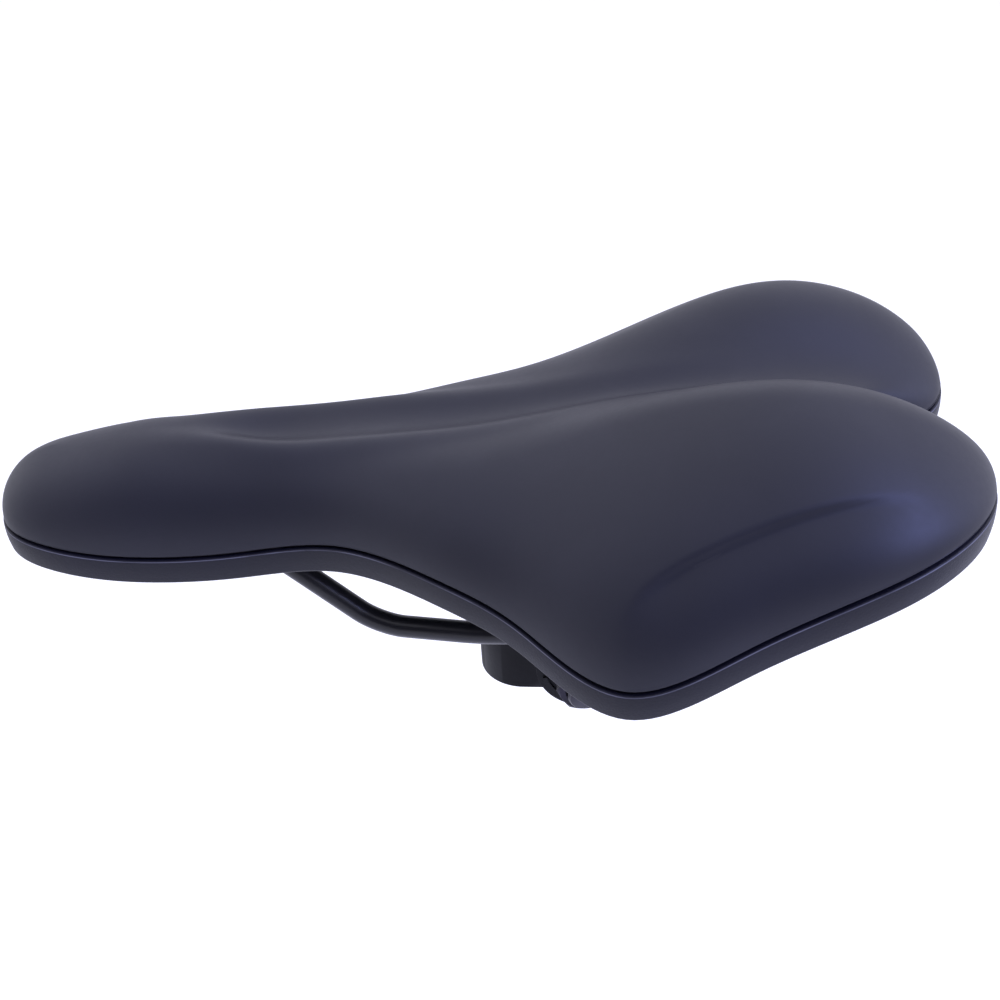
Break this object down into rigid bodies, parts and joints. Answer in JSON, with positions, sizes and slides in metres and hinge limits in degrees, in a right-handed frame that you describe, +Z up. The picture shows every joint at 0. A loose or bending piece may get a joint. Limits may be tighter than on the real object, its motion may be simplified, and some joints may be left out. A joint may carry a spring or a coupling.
{
  "type": "bicycle saddle",
  "caption": "Bicycle saddle with a seamless padded cover, relief channel and split tail, edge trim, bent steel rails and a tilting, sliding seatpost clamp.",
  "frame": {"origin": "centre of the seatpost bore in the clamp band, halfway up the band", "axes": "+X towards the tail of the saddle, +Y to the rider's right, +Z up along the seatpost"},
  "size_m": [0.29, 0.1634, 0.1171],
  "materials": {
    "cover_skin": "smooth satin polyurethane skin",
    "foam": "open-cell polyurethane foam",
    "base_plastic": "moulded polypropylene",
    "trim_plastic": "fine-grained moulded plastic",
    "rail_paint": "semi-gloss black powder coat over steel",
    "clamp_steel": "satin black coat over pressed steel",
    "zinc_steel": "black zinc plated steel"
  },
  "bodies": {
    "post_clamp": {"clamp_band": "clamp_steel", "cross_bolt": "zinc_steel"},
    "rail_carrier": {"inner_plate_right": "clamp_steel", "inner_plate_left": "clamp_steel", "outer_plate_right": "clamp_steel", "outer_plate_left": "clamp_steel"},
    "saddle": {"rail": "rail_paint", "base_shell": "base_plastic", "foam_pad": "foam", "cover": "cover_skin", "edge_trim": "trim_plastic", "trim_screw_1": "zinc_steel", "trim_screw_2": "zinc_steel", "trim_screw_3": "zinc_steel", "trim_screw_4": "zinc_steel", "trim_screw_5": "zinc_steel", "trim_screw_6": "zinc_steel", "trim_screw_7": "zinc_steel", "trim_screw_8": "zinc_steel", "trim_screw_9": "zinc_steel"},
    "right_washer": {"washer_right": "zinc_steel"},
    "right_nut": {"nut_right": "zinc_steel"},
    "left_washer": {"washer_left": "zinc_steel"},
    "left_nut": {"nut_left": "zinc_steel"}
  },
  "joints": [
    {"name": "saddle_tilt", "type": "hinge", "parent": "post_clamp", "child": "rail_carrier", "pos_m": [0.0195, 0, 0.0065], "axis": [0, 1, 0], "range_deg": [-20, 20]},
    {"name": "rail_slide", "type": "slide", "parent": "rail_carrier", "child": "saddle", "axis": [1, 0, 0], "range_m": [-0.012, 0.012]},
    {"name": "washer_right_slide", "type": "slide", "parent": "post_clamp", "child": "right_washer", "axis": [0, 1, 0], "range_m": [0, 0.0025]},
    {"name": "nut_right_turn", "type": "hinge", "parent": "right_washer", "child": "right_nut", "pos_m": [0.0195, 0, 0.0065], "axis": [0, 1, 0], "range_deg": [0, 720]},
    {"name": "washer_left_slide", "type": "slide", "parent": "post_clamp", "child": "left_washer", "axis": [0, -1, 0], "range_m": [0, 0.0025]},
    {"name": "nut_left_turn", "type": "hinge", "parent": "left_washer", "child": "left_nut", "pos_m": [0.0195, 0, 0.0065], "axis": [0, -1, 0], "range_deg": [0, 720]}
  ],
  "couplings": [
    {"joint": "washer_right_slide", "follows": "nut_right_turn", "m_per_rad": 0.00019894},
    {"joint": "washer_left_slide", "follows": "nut_left_turn", "m_per_rad": 0.00019894}
  ]
}
